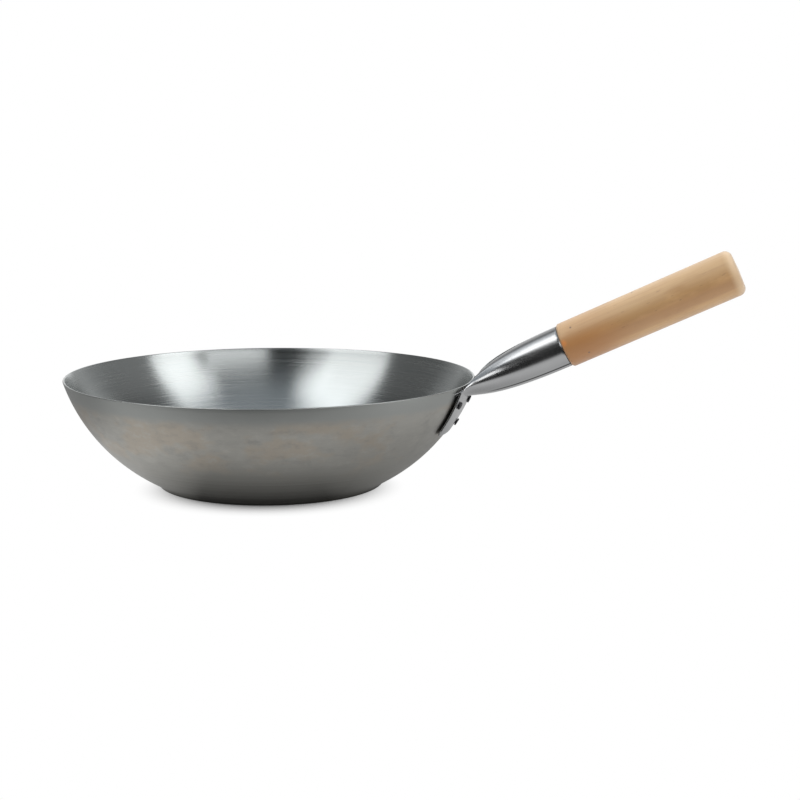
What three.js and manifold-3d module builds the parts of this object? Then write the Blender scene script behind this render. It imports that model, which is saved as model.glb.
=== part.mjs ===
// A flat-bottom carbon-steel wok with one long handle: a spun bowl, a rolled steel socket riveted to its
// wall, and a turned wooden grip whose tenon is screwed into the socket.
// Millimetres, +Z up. The origin is the middle of the flat base, and the handle points along +X.
import * as THREE from "three";
import { mergeVertices } from "three/addons/utils/BufferGeometryUtils.js";
import Module from "manifold-3d";

// Bowl
const RIM_DIAMETER = 330;
const BASE_DIAMETER = 180;
const BASE_EDGE_OUT = 3.6; // the base's pressed edge, from the flat out to the wall's arc
const BASE_EDGE_HEIGHT = 4;
const BOWL_HEIGHT = 87.5;
const BOWL_WALL = 1.5;
const WALL_START_ANGLE = 26.8; // degrees above level where the arc leaves the base's edge

// Centre line of the handle
const HANDLE_TILT = 24.8; // degrees above level
const HANDLE_LINE_BELOW_RIM = 3.8; // where the line crosses the rim's circle

// Socket, one pressed sheet: the plate on the wall, and a horn rolled round the tenon
const SOCKET_SHEET = 1.4;
const SOCKET_DIAMETER = 33; // outside, at the mouth
const SOCKET_LENGTH = 78.9; // along the handle line, from the rim's circle to the mouth
const SOCKET_SEAM = 0.8; // between the horn's two edges, on top of the mouth
const HORN_OUT_AT_CREASE = 14; // how the sheet bends out of the plate, under the handle
const HORN_OUT_AT_CORNER = 8.1; // and at the plate's two upper corners
const HORN_IN_AT_CORNER = 20;
const HORN_UP_AT_CORNER = 11.5;
const HORN_UP_POWER = 0.8;
const HORN_RUN_UNDER = 55; // how long the horn follows the handle line into its mouth
const HORN_RUN_ON_TOP = 58;
const PLATE_WIDTH = 82;
const PLATE_CORNER_BELOW_RIM = 2.5;
const PLATE_CREASE_BELOW_RIM = 10.5;
const PLATE_EDGE_BELOW_RIM = 39.5;
const PLATE_EDGE_RISE = 2.5; // of the lower edge, from its middle to its corners
const PLATE_CORNER_ROUND = 4;
const PLATE_SIDE_LIFT = 1.2; // how far the plate's side edges spring off the wall
const GATHER_POWER = 3; // how soon the sheet's lines gather at the plate's upper corners
const GATHER_SHARE = 0.94; // and how fully

// Rivets
const RIVET_SHANK_DIAMETER = 4;
const RIVET_HEAD_DIAMETER = 6.2;
const RIVET_HEAD_HEIGHT = 1.2;
const RIVET_INNER_HEAD_DIAMETER = 8;
const RIVET_INNER_HEAD_HEIGHT = 1.1;
const RIVET_HEAD_CHAMFER = 0.5;
const RIVET_TO_PLATE_SIDE = 8.5;
const RIVET_TO_CREASE = 3.3;
const RIVET_TO_PLATE_EDGE = 7.3;

// Wooden handle
const GRIP_LENGTH = 145.5;
const GRIP_DIAMETER = 35.6; // just outside the socket
const GRIP_END_DIAMETER = 36.4;
const GRIP_SHOULDER_ROUND = 2.2;
const GRIP_END_ROUND = 5.5;
const TENON_LENGTH = 48;
const TENON_END_DIAMETER = 24;

// Screw that keeps the tenon in the socket
const SCREW_SIDE = 0.25; // of half the way round the horn, from its underside towards the far side
const SCREW_SHARE = 0.86; // of the way from the plate to the mouth
const SCREW_LENGTH = 12;
const SCREW_SHANK_DIAMETER = 3;
const SCREW_TIP_LENGTH = 3;
const SCREW_HEAD_DIAMETER = 6.4;
const SCREW_HEAD_HEIGHT = 1.5;
const SCREW_HEAD_CROWN = 0.6;

// Fits
const SEAT_GAP = 0.3; // between a piece and what it rests on
const HOLE_CLEARANCE = 0.25; // round a shank

// Fineness of the curved surfaces
const BOWL_SEGMENTS = 90;
const WALL_STEPS = 12;
const SHEET_COLUMNS = 48;
const PLATE_ROWS = 5;
const HORN_ROWS = 18;
const GRIP_SEGMENTS = 40;
const ROUND_STEPS = 4;
const SMALL_SEGMENTS = 18;
const MERGE_DISTANCE = 1e-3;
const SMALL_STEP = 1e-3; // share of a run, for a direction taken between two near points

const STEEL = { color: 0x8a8c8d, roughness: 0.38, metalness: 1 };
const POLISHED_STEEL = { color: 0xb4b6b8, roughness: 0.18, metalness: 1 };
const DARK_STEEL = { color: 0x35363a, roughness: 0.5, metalness: 1 };
const BEECH = { color: 0xd9ae7c, roughness: 0.55, metalness: 0 };

const wasm = await Module();
wasm.setup();

const UP = new THREE.Vector3(0, 1, 0); // axis of a turned or round shape before it is placed

function solidOf(geometry) {
  const bare = geometry.clone();
  bare.deleteAttribute("normal");
  bare.deleteAttribute("uv");
  const merged = mergeVertices(bare, MERGE_DISTANCE);
  const mesh = new wasm.Mesh({
    numProp: 3,
    vertProperties: merged.attributes.position.array,
    triVerts: new Uint32Array(merged.index.array),
  });
  return new wasm.Manifold(mesh);
}

function geometryOf(solid) {
  const mesh = solid.getMesh();
  const geometry = new THREE.BufferGeometry();
  geometry.setAttribute("position", new THREE.BufferAttribute(mesh.vertProperties, 3));
  geometry.setIndex(new THREE.BufferAttribute(mesh.triVerts, 1));
  geometry.computeVertexNormals();
  return geometry;
}

function cutAway(geometry, cutters) {
  const cut = cutters.reduce((solid, cutter) => solid.subtract(solidOf(cutter)), solidOf(geometry));
  return geometryOf(cut);
}

function namedMesh(name, geometry, look) {
  const mesh = new THREE.Mesh(geometry, new THREE.MeshStandardMaterial(look));
  mesh.name = name;
  return mesh;
}

// A turned shape round +Y from a profile of [radius, height] pairs that starts and ends on the axis.
function turned(profile, segments) {
  const points = profile.map(([radius, height]) => new THREE.Vector2(radius, height));
  return new THREE.LatheGeometry(points, segments);
}

// A round cutter along +Y between two heights.
function drill(radius, low, high) {
  const geometry = new THREE.CylinderGeometry(radius, radius, high - low, SMALL_SEGMENTS);
  return geometry.translate(0, (low + high) / 2, 0);
}

// A quarter round of a profile: centre, radius, and the angles where it starts and ends.
function quarterRound(centreRadius, centreHeight, radius, startDegrees, endDegrees) {
  return Array.from({ length: ROUND_STEPS + 1 }, (_, step) => {
    const degrees = THREE.MathUtils.lerp(startDegrees, endDegrees, step / ROUND_STEPS);
    const angle = THREE.MathUtils.degToRad(degrees);
    return [centreRadius + radius * Math.cos(angle), centreHeight + radius * Math.sin(angle)];
  });
}

// Wall of the bowl: one arc from the base's edge to the rim, whose angle is its slope above level.
const rimRadius = RIM_DIAMETER / 2;
const baseRadius = BASE_DIAMETER / 2;
const footRadius = baseRadius + BASE_EDGE_OUT;
const wallRise = BOWL_HEIGHT - BASE_EDGE_HEIGHT;
const startAngle = THREE.MathUtils.degToRad(WALL_START_ANGLE);
const rimAngle = 2 * Math.atan2(wallRise, rimRadius - footRadius) - startAngle;
const wallChord = Math.hypot(wallRise, rimRadius - footRadius);
const arcRadius = wallChord / (2 * Math.sin((rimAngle - startAngle) / 2));
const arcCentreRadius = footRadius - arcRadius * Math.sin(startAngle);
const arcCentreHeight = BASE_EDGE_HEIGHT + arcRadius * Math.cos(startAngle);

// Radius and height of a point that stands off the wall's outer face.
function wallProfile(angle, standOff) {
  const reach = arcRadius + standOff;
  return [arcCentreRadius + reach * Math.sin(angle), arcCentreHeight - reach * Math.cos(angle)];
}

function wallAngleAt(height) {
  return Math.acos((arcCentreHeight - height) / arcRadius);
}

// How far round the bowl's axis a distance along the wall reaches, from the handle's plane.
function turnRound(angle, aroundDistance) {
  return aroundDistance / wallProfile(angle, 0)[0];
}

// The same point in space.
function onWall(angle, turn, standOff) {
  const [radius, height] = wallProfile(angle, standOff);
  return new THREE.Vector3(radius * Math.cos(turn), radius * Math.sin(turn), height);
}

// Direction square to the wall, out of the bowl.
function outOfWall(angle, turn) {
  const level = Math.sin(angle);
  return new THREE.Vector3(level * Math.cos(turn), level * Math.sin(turn), -Math.cos(angle));
}

function bowlGeometry() {
  const edgeAngle = Math.atan2(BASE_EDGE_HEIGHT, BASE_EDGE_OUT);
  const floorRadius = baseRadius - BOWL_WALL * Math.tan(edgeAngle / 2);
  const steps = Array.from({ length: WALL_STEPS + 1 }, (_, step) => step / WALL_STEPS);
  const outside = steps.map((share) => wallProfile(THREE.MathUtils.lerp(startAngle, rimAngle, share), 0));
  const inside = steps.map((share) =>
    wallProfile(THREE.MathUtils.lerp(rimAngle, startAngle, share), -BOWL_WALL),
  );
  const profile = [[0, 0], [baseRadius, 0], ...outside, ...inside, [floorRadius, BOWL_WALL], [0, BOWL_WALL]];
  return turned(profile, BOWL_SEGMENTS).rotateX(Math.PI / 2);
}

// Handle frame: along the handle, across it, and up from it.
const tilt = THREE.MathUtils.degToRad(HANDLE_TILT);
const handleAlong = new THREE.Vector3(Math.cos(tilt), 0, Math.sin(tilt));
const handleUp = new THREE.Vector3(-Math.sin(tilt), 0, Math.cos(tilt));
const handleAcross = new THREE.Vector3(0, 1, 0);
const rimCrossing = new THREE.Vector3(rimRadius, 0, BOWL_HEIGHT - HANDLE_LINE_BELOW_RIM);
const mouthCentre = rimCrossing.clone().addScaledVector(handleAlong, SOCKET_LENGTH);
const mouthRadius = SOCKET_DIAMETER / 2;

// Where a line of the sheet crosses the plate: the lines gather at the plate's two upper corners.
function plateSide(side) {
  const gathered = 1 - (1 - Math.abs(side)) ** GATHER_POWER;
  return Math.sign(side) * THREE.MathUtils.lerp(Math.abs(side), gathered, GATHER_SHARE);
}

// How far the plate's outer face stands off the wall.
function plateStandOff(side) {
  return SEAT_GAP + SOCKET_SHEET + PLATE_SIDE_LIFT * side ** 2;
}

// Height of the plate's lower edge, which bows up to its two rounded corners.
function plateEdgeHeight(side) {
  const fromSide = ((1 - Math.abs(side)) * PLATE_WIDTH) / 2;
  const intoCorner = Math.max(0, PLATE_CORNER_ROUND - fromSide);
  const drop = Math.sqrt(PLATE_CORNER_ROUND ** 2 - intoCorner ** 2);
  return BOWL_HEIGHT - PLATE_EDGE_BELOW_RIM + PLATE_EDGE_RISE * side ** 2 + PLATE_CORNER_ROUND - drop;
}

// Height where the sheet leaves the wall: lowest under the handle, highest at the two side edges.
function plateCreaseHeight(side) {
  return BOWL_HEIGHT - THREE.MathUtils.lerp(PLATE_CREASE_BELOW_RIM, PLATE_CORNER_BELOW_RIM, side ** 2);
}

// Point of the plate's outer face; side runs from -1 at one edge, through 0 in the middle, to 1.
function platePoint(side, upward) {
  const spot = plateSide(side);
  const height = THREE.MathUtils.lerp(plateEdgeHeight(spot), plateCreaseHeight(spot), upward);
  const angle = wallAngleAt(height);
  return onWall(angle, turnRound(angle, (spot * PLATE_WIDTH) / 2), plateStandOff(spot));
}

// Point of the mouth; side runs from -1 at the seam on top, through 0 on the underside, to 1.
function mouthPoint(side) {
  const turn = side * (Math.PI - SOCKET_SEAM / 2 / mouthRadius);
  return mouthCentre
    .clone()
    .addScaledVector(handleAcross, mouthRadius * Math.sin(turn))
    .addScaledVector(handleUp, -mouthRadius * Math.cos(turn));
}

// The horn bends out of the plate at its crease and runs into the mouth along the handle line.
function hornPoint(side, along) {
  const aside = Math.abs(side);
  const out = THREE.MathUtils.lerp(HORN_OUT_AT_CREASE, HORN_OUT_AT_CORNER, aside);
  const bend = new THREE.Vector3(out, -HORN_IN_AT_CORNER * side, HORN_UP_AT_CORNER * aside ** HORN_UP_POWER);
  const run = THREE.MathUtils.lerp(HORN_RUN_UNDER, HORN_RUN_ON_TOP, aside);
  const start = platePoint(side, 1);
  const end = mouthPoint(side);
  const arrive = end.clone().addScaledVector(handleAlong, -run);
  return new THREE.CubicBezierCurve3(start, bend.add(start), arrive, end).getPoint(along);
}

// Rows of the sheet's outer face, from the plate's lower edge to the mouth.
function sheetRows() {
  const sides = Array.from({ length: SHEET_COLUMNS + 1 }, (_, column) => (2 * column) / SHEET_COLUMNS - 1);
  const rowAt = (pointAt, share) => sides.map((side) => pointAt(side, share));
  const rowsOf = (pointAt, first, count) =>
    Array.from({ length: count + 1 - first }, (_, row) => rowAt(pointAt, (row + first) / count));
  return [...rowsOf(platePoint, 0, PLATE_ROWS), ...rowsOf(hornPoint, 1, HORN_ROWS)];
}

// Direction out of the sheet's outer face at a grid point, from the point's neighbours.
function outwardAt(rows, row, column) {
  const last = rows.length - 1;
  const alongRun = rows[Math.min(row + 1, last)][column].clone().sub(rows[Math.max(row - 1, 0)][column]);
  const left = Math.max(column - 1, 0);
  const right = Math.min(column + 1, SHEET_COLUMNS);
  const acrossRun = rows[row][right].clone().sub(rows[row][left]);
  return acrossRun.cross(alongRun).normalize();
}

// A closed sheet: the outer face, the inner face a sheet's thickness behind it, and the cut edges.
function socketGeometry() {
  const outer = sheetRows();
  const behind = (point, row, column) =>
    point.clone().addScaledVector(outwardAt(outer, row, column), -SOCKET_SHEET);
  const inner = outer.map((points, row) => points.map((point, column) => behind(point, row, column)));
  const columns = SHEET_COLUMNS + 1;
  const layer = outer.length * columns;
  const outerAt = (row, column) => row * columns + column;
  const innerAt = (row, column) => layer + outerAt(row, column);
  const triangles = [];
  const addQuad = (a, b, c, d) => triangles.push(a, b, c, a, c, d);
  const lastRow = outer.length - 1;
  for (let row = 0; row < lastRow; row += 1) {
    for (let column = 0; column < SHEET_COLUMNS; column += 1) {
      const next = column + 1;
      addQuad(outerAt(row, column), outerAt(row, next), outerAt(row + 1, next), outerAt(row + 1, column));
      addQuad(innerAt(row, column), innerAt(row + 1, column), innerAt(row + 1, next), innerAt(row, next));
    }
    addQuad(outerAt(row, 0), outerAt(row + 1, 0), innerAt(row + 1, 0), innerAt(row, 0));
    addQuad(
      innerAt(row, SHEET_COLUMNS),
      innerAt(row + 1, SHEET_COLUMNS),
      outerAt(row + 1, SHEET_COLUMNS),
      outerAt(row, SHEET_COLUMNS),
    );
  }
  for (let column = 0; column < SHEET_COLUMNS; column += 1) {
    const next = column + 1;
    addQuad(innerAt(0, column), innerAt(0, next), outerAt(0, next), outerAt(0, column));
    addQuad(
      outerAt(lastRow, column),
      outerAt(lastRow, next),
      innerAt(lastRow, next),
      innerAt(lastRow, column),
    );
  }
  const geometry = new THREE.BufferGeometry().setFromPoints([...outer.flat(), ...inner.flat()]);
  return geometry.setIndex(triangles);
}

// Rivets: three below the crease and one near the lower edge, each square to the wall.
const upperRivetHeight = BOWL_HEIGHT - PLATE_CREASE_BELOW_RIM - RIVET_TO_CREASE;
const lowerRivetHeight = BOWL_HEIGHT - PLATE_EDGE_BELOW_RIM + RIVET_TO_PLATE_EDGE;
const outerRivet = PLATE_WIDTH / 2 - RIVET_TO_PLATE_SIDE;
const rivetPlaces = [
  { around: -outerRivet, height: upperRivetHeight },
  { around: 0, height: upperRivetHeight },
  { around: outerRivet, height: upperRivetHeight },
  { around: 0, height: lowerRivetHeight },
].map(({ around, height }) => {
  const angle = wallAngleAt(height);
  const turn = turnRound(angle, around);
  const plateFace = plateStandOff((2 * around) / PLATE_WIDTH);
  return { seat: onWall(angle, turn, 0), outward: outOfWall(angle, turn), plateFace };
});

function rivetGeometry(plateFace) {
  const shank = RIVET_SHANK_DIAMETER / 2;
  const head = RIVET_HEAD_DIAMETER / 2;
  const innerHead = RIVET_INNER_HEAD_DIAMETER / 2;
  const headSeat = plateFace + SEAT_GAP;
  const headTop = headSeat + RIVET_HEAD_HEIGHT;
  const innerSeat = -BOWL_WALL - SEAT_GAP;
  const innerTop = innerSeat - RIVET_INNER_HEAD_HEIGHT;
  const profile = [
    [0, innerTop],
    [innerHead - RIVET_HEAD_CHAMFER, innerTop],
    [innerHead, innerTop + RIVET_HEAD_CHAMFER],
    [innerHead, innerSeat],
    [shank, innerSeat],
    [shank, headSeat],
    [head, headSeat],
    [head, headTop - RIVET_HEAD_CHAMFER],
    [head - RIVET_HEAD_CHAMFER, headTop],
    [0, headTop],
  ];
  return turned(profile, SMALL_SEGMENTS);
}

// A hole through the wall and the plate for one rivet, where that rivet stands.
function rivetHole({ seat, outward, plateFace }) {
  const hole = drill(
    RIVET_SHANK_DIAMETER / 2 + HOLE_CLEARANCE,
    -BOWL_WALL - RIVET_INNER_HEAD_HEIGHT,
    plateFace + RIVET_HEAD_HEIGHT,
  );
  hole.applyQuaternion(new THREE.Quaternion().setFromUnitVectors(UP, outward));
  return hole.translate(seat.x, seat.y, seat.z);
}

// Grip and tenon round +Y, with the socket's mouth at height 0.
function gripGeometry() {
  const bore = mouthRadius - SOCKET_SHEET - SEAT_GAP;
  const shoulder = GRIP_DIAMETER / 2;
  const shoulderHeight = SEAT_GAP + GRIP_SHOULDER_ROUND;
  const end = GRIP_END_DIAMETER / 2;
  const profile = [
    [0, -TENON_LENGTH],
    [TENON_END_DIAMETER / 2, -TENON_LENGTH],
    [bore, 0],
    [bore, SEAT_GAP],
    ...quarterRound(shoulder - GRIP_SHOULDER_ROUND, shoulderHeight, GRIP_SHOULDER_ROUND, -90, 0),
    ...quarterRound(end - GRIP_END_ROUND, GRIP_LENGTH - GRIP_END_ROUND, GRIP_END_ROUND, 0, 90),
    [0, GRIP_LENGTH],
  ];
  return turned(profile, GRIP_SEGMENTS);
}

// Screw round +Y, with the socket's outer face at height 0 and the tip below.
function screwGeometry() {
  const shank = SCREW_SHANK_DIAMETER / 2;
  const head = SCREW_HEAD_DIAMETER / 2;
  const profile = [
    [0, -SCREW_LENGTH],
    [shank, SCREW_TIP_LENGTH - SCREW_LENGTH],
    [shank, SEAT_GAP],
    [head, SEAT_GAP],
    [head, SEAT_GAP + SCREW_HEAD_HEIGHT - SCREW_HEAD_CROWN],
    [head - SCREW_HEAD_CROWN, SEAT_GAP + SCREW_HEAD_HEIGHT],
    [0, SEAT_GAP + SCREW_HEAD_HEIGHT],
  ];
  return turned(profile, SMALL_SEGMENTS);
}

const rivetHoles = rivetPlaces.map(rivetHole);

// The handle's own frame: +Y along it, +Z up from it, with the socket's mouth at the origin.
const handleFrame = new THREE.Matrix4()
  .makeBasis(handleAcross.clone().negate(), handleAlong, handleUp)
  .setPosition(mouthCentre);
const intoHandleFrame = handleFrame.clone().invert();

// Where the screw stands on the horn, and which way it points out of it, in the handle's own frame.
const hornSeat = hornPoint(SCREW_SIDE, SCREW_SHARE);
const aroundHorn = hornPoint(SCREW_SIDE + SMALL_STEP, SCREW_SHARE).sub(hornSeat);
const alongHorn = hornPoint(SCREW_SIDE, SCREW_SHARE + SMALL_STEP).sub(hornSeat);
const screwSeat = hornSeat.clone().applyMatrix4(intoHandleFrame);
const screwOutward = aroundHorn.cross(alongHorn).transformDirection(intoHandleFrame);
const screwPose = new THREE.Quaternion().setFromUnitVectors(UP, screwOutward);
const screwHole = drill(
  SCREW_SHANK_DIAMETER / 2 + HOLE_CLEARANCE,
  -SCREW_LENGTH - SEAT_GAP,
  SCREW_HEAD_HEIGHT,
)
  .applyQuaternion(screwPose)
  .translate(screwSeat.x, screwSeat.y, screwSeat.z);

const wok = new THREE.Group();
wok.add(namedMesh("wok_bowl", cutAway(bowlGeometry(), rivetHoles), STEEL));

const socketHoles = [...rivetHoles, screwHole.clone().applyMatrix4(handleFrame)];
wok.add(namedMesh("handle_socket", cutAway(socketGeometry(), socketHoles), POLISHED_STEEL));

rivetPlaces.forEach(({ seat, outward, plateFace }, index) => {
  const rivet = namedMesh(`rivet_${index + 1}`, rivetGeometry(plateFace), DARK_STEEL);
  rivet.position.copy(seat);
  rivet.quaternion.setFromUnitVectors(UP, outward);
  wok.add(rivet);
});

const handle = new THREE.Group();
handle.applyMatrix4(handleFrame);
handle.add(namedMesh("wooden_handle", cutAway(gripGeometry(), [screwHole]), BEECH));
const screw = namedMesh("handle_screw", screwGeometry(), DARK_STEEL);
screw.position.copy(screwSeat);
screw.quaternion.copy(screwPose);
handle.add(screw);
wok.add(handle);

export default wok;
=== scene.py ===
import math

import bmesh
import bpy
from mathutils import Matrix, Vector


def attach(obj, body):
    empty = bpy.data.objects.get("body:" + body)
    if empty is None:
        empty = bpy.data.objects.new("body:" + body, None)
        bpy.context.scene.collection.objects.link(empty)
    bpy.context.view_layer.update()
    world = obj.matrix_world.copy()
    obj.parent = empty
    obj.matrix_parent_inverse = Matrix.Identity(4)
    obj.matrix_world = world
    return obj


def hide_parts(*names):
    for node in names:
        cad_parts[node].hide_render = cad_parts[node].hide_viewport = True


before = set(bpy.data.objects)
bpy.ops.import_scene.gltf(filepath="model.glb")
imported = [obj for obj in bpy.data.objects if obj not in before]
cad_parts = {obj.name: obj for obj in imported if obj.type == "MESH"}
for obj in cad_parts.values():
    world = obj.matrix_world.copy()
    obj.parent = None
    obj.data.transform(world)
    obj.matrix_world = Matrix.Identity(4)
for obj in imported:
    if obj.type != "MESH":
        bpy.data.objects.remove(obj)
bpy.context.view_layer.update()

MM = 0.001
MIDDLE = Vector((0, 0, 0))
UPWARD = Vector((0, 0, 1))


def grey(level):
    return (level, level, level, 1)


# Bowl, as in the solid
RIM_DIAMETER = 330 * MM
BASE_DIAMETER = 180 * MM
BASE_EDGE_OUT = 3.6 * MM  # the base's pressed edge, from the flat out to the wall's arc
BASE_EDGE_HEIGHT = 4 * MM
BOWL_HEIGHT = 87.5 * MM
BOWL_WALL = 1.5 * MM
WALL_START_ANGLE = math.radians(26.8)
BASE_EDGE_ROUND = 1.2 * MM  # reach of each round of the base's edge, from the corner that it takes away
WALL_FOOT_ROUND = 2.6 * MM
RIM_ROUND = 0.6 * MM

# Centre line of the handle
HANDLE_TILT = math.radians(24.8)
HANDLE_LINE_BELOW_RIM = 3.8 * MM

# Socket sheet
SOCKET_SHEET = 1.4 * MM
SOCKET_DIAMETER = 33 * MM
SOCKET_LENGTH = 78.9 * MM  # from the rim to the mouth
SOCKET_SEAM = 0.8 * MM
HORN_OUT_AT_CREASE = 14 * MM  # how the sheet leaves the plate
HORN_OUT_AT_CORNER = 8.1 * MM
HORN_IN_AT_CORNER = 20 * MM
HORN_UP_AT_CORNER = 11.5 * MM
HORN_UP_POWER = 0.8
HORN_RUN_UNDER = 55 * MM  # how far it runs along the handle line to the mouth
HORN_RUN_ON_TOP = 58 * MM
PLATE_WIDTH = 82 * MM
PLATE_CORNER_BELOW_RIM = 2.5 * MM
PLATE_CREASE_BELOW_RIM = 10.5 * MM
PLATE_EDGE_BELOW_RIM = 39.5 * MM
PLATE_EDGE_RISE = 2.5 * MM
PLATE_CORNER_ROUND = 4 * MM
PLATE_SIDE_LIFT = 1.2 * MM
SHEET_EDGE_ROUND = 0.35 * MM
GATHER_POWER = 3  # how soon the sheet's lines gather at the plate's upper corners
GATHER_SHARE = 0.94  # and how fully
PLATE_SHARE = 0.3  # of the grid's rows

# Rivets
RIVET_SHANK_DIAMETER = 4 * MM
RIVET_HEAD_DIAMETER = 6.2 * MM
RIVET_HEAD_HEIGHT = 1.2 * MM
RIVET_INNER_HEAD_DIAMETER = 8 * MM
RIVET_INNER_HEAD_HEIGHT = 1.1 * MM
RIVET_HEAD_ROUND = 0.7 * MM
RIVET_TO_PLATE_SIDE = 8.5 * MM
RIVET_TO_CREASE = 3.3 * MM
RIVET_TO_PLATE_EDGE = 7.3 * MM

# Wooden handle
GRIP_LENGTH = 145.5 * MM
GRIP_DIAMETER = 35.6 * MM
GRIP_END_DIAMETER = 36.4 * MM
GRIP_SHOULDER_ROUND = 2.2 * MM
GRIP_END_ROUND = 5.5 * MM
GRIP_END_SINK = 0.7 * MM  # how much lower the edge of the crowned end is than its middle
TENON_LENGTH = 48 * MM
TENON_END_DIAMETER = 24 * MM

# Screw
SCREW_SIDE = 0.25  # of half the way round the socket, from its underside
SCREW_SHARE = 0.86  # of the way from the plate to the mouth
SCREW_LENGTH = 12 * MM
SCREW_SHANK_DIAMETER = 3 * MM
SCREW_TIP_LENGTH = 3 * MM
SCREW_HEAD_DIAMETER = 6.4 * MM
SCREW_HEAD_HEIGHT = 1.5 * MM
SCREW_HEAD_ROUND = 0.7 * MM
SCREW_SLOT_WIDTH = 1.0 * MM
SCREW_SLOT_DEPTH = 0.8 * MM

SEAT_GAP = 0.3 * MM

# Fineness of the meshes
BOWL_SEGMENTS = 256
WALL_STEPS = 30
BASE_RINGS = 6
SHEET_COLUMNS = 144
SHEET_ROWS = 120
GRIP_SEGMENTS = 128
GRIP_RINGS = 24
SMALL_SEGMENTS = 48
ROUND_STEPS = 5
GRIP_END_STEPS = 10
SHEET_EDGE_STEPS = 2
SMALL_STEP = 1e-3
MERGE_DISTANCE = 1e-6
NEAR = 1e-5
SHARP_ANGLE = math.radians(38)
FACING_UP = 0.99

BRUSH_MAP = "brush"
SHEET_MAP = "sheet"

# Camera and studio, seen as in the photograph
PHOTO_TURN = math.radians(10)
CAMERA_PLACE = Vector((104.72, -1358.28, 291.61)) * MM
CAMERA_DIP = math.radians(9.384)
CAMERA_LENS = 76.5
CAMERA_SENSOR = 36
LAMP_TARGET = Vector((0, 0, 60)) * MM
LAMP_REACH = 1.0

# Lamps: degrees from the camera's side, degrees above level, width and height in degrees, brightness,
# and whether the steel mirrors it
LAMPS = {
    "left_softbox": (-62, 48, 38, 46, 1.85, True),
    "left_spill": (-116, 73, 30, 16, 0.5, True),
    "left_fringe": (-34, 45, 17, 32, 0.55, True),
    "right_softbox": (75, 40, 28, 36, 2.15, True),
    "front_reflector": (28, 32, 36, 24, 1.75, True),
    "back_softbox": (180, 58, 70, 30, 3.5, False),
}

# Room round the table, as the steel mirrors it and as it lights the wood
ROOM_FRONT = grey(0.015)
ROOM_LEFT = grey(0.16)
ROOM_RIGHT = grey(0.29)
ROOM_ABOVE = (0.34, 0.37, 0.40, 1)
ROOM_BACK_LOW = grey(0.5)
ROOM_BACK_HIGH = grey(0.58)
SIDES_RISE = (0.64, 0.82)
ABOVE_RISE = (0.68, 0.90)
BACK_RISE = (0.10, 0.40)
BACKWARD = (0.42, 0.88)
BACKDROP_REACH = (0.90, 0.97)
FILL_LOW = grey(0.16)
FILL_HIGH = grey(0.8)
FILL_RISE = (0.0, 0.8)

# Table, as the steel mirrors it: a glow that stands in for the lit table, with painted light and shade;
# painted shadow makes it darker towards the base, and it ends in front
# painted shadow of the bowl on the table: the level under the base, the contact span and the shade span
TABLE_PAINTED_SHADOW_UNDER_BASE = grey(0.04)
TABLE_LEFT_NEAR = grey(0.68)
TABLE_LEFT_FAR = grey(0.60)
TABLE_LEFT_BESIDE = grey(0.34)
TABLE_RIGHT_NEAR = grey(0.36)
TABLE_RIGHT_FAR = grey(0.66)
TABLE_RIGHT_BESIDE = grey(0.55)
TABLE_FRONT = grey(0.58)
TABLE_BEYOND = grey(0.02)
TABLE_EDGE = (0.19, 0.32)
TABLE_CONTACT_SHADOW = (0.0895, 0.095)  # darkest where the base stands
TABLE_CONTACT_SHADOW_SHARE = 0.15
TABLE_SHADE = (0.082, 0.190)
TABLE_ASIDE = (0.05, 0.12)
TABLE_FAR = (0.16, 0.26)
TABLE_BESIDE = (0.02, 0.14)
FLOOR_SIZE = 16
FLOOR_DROP = 0.2 * MM  # keeps it clear of the base's underside
FLOOR_BOUNCE = grey(0.88)
FLOOR_SEEN = grey(0.98)
SHADOW_REACH = (0.058, 0.110)  # where the floor's shadow fades to white
SHADOW_FORWARD = 0.020
WHITE = grey(1)

# Finishes: noise
NOISE_DETAIL = 2
NOISE_ROUGH = 0.5
FINE_DETAIL = 3
LINE_SPAN = (0.6, 1.4)  # what the sum of two noises spans
GRAIN_SPAN = (0.3, 0.7)  # what one noise spans

# Finishes: brushed bowl, as a list of the inside and the outside
INSIDE, OUTSIDE = range(2)
STREAK_LENGTH = (14, 14, 0)
STREAK_ACROSS = (900, 0, 0)
FINE_STREAK_ACROSS = (2600, 0, 0)
STREAK_TONES = (0.7, 1.3)
BRUSH_BUMP = 0.12
BRUSH_DEPTH = 0.1 * MM
INSIDE_DARK = (0.42, 0.45, 0.45, 1)
INSIDE_PALE = (0.52, 0.54, 0.535, 1)
INSIDE_ROUGHNESS = (0.19, 0.30)
INSIDE_ANISOTROPY = 0.85
OUTSIDE_DARK = (0.415, 0.41, 0.38, 1)
OUTSIDE_PALE = (0.50, 0.495, 0.465, 1)
OUTSIDE_COOL = (0.44, 0.46, 0.45, 1)
OUTSIDE_GOLD = (0.56, 0.50, 0.42, 1)
OUTSIDE_DULL = (0.36, 0.36, 0.35, 1)
# paler steel, for the band's painted reflection and for the bright smears
OUTSIDE_RUBBED_AND_LIT = (0.58, 0.57, 0.53, 1)
OUTSIDE_SPAN = (1.0, 2.0)
OUTSIDE_ROUGHNESS = (0.36, 0.48)
OUTSIDE_ANISOTROPY = 0.6
COOL_RISE = (70 * MM, 79 * MM)
COOL_SHARE = 0.8
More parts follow.
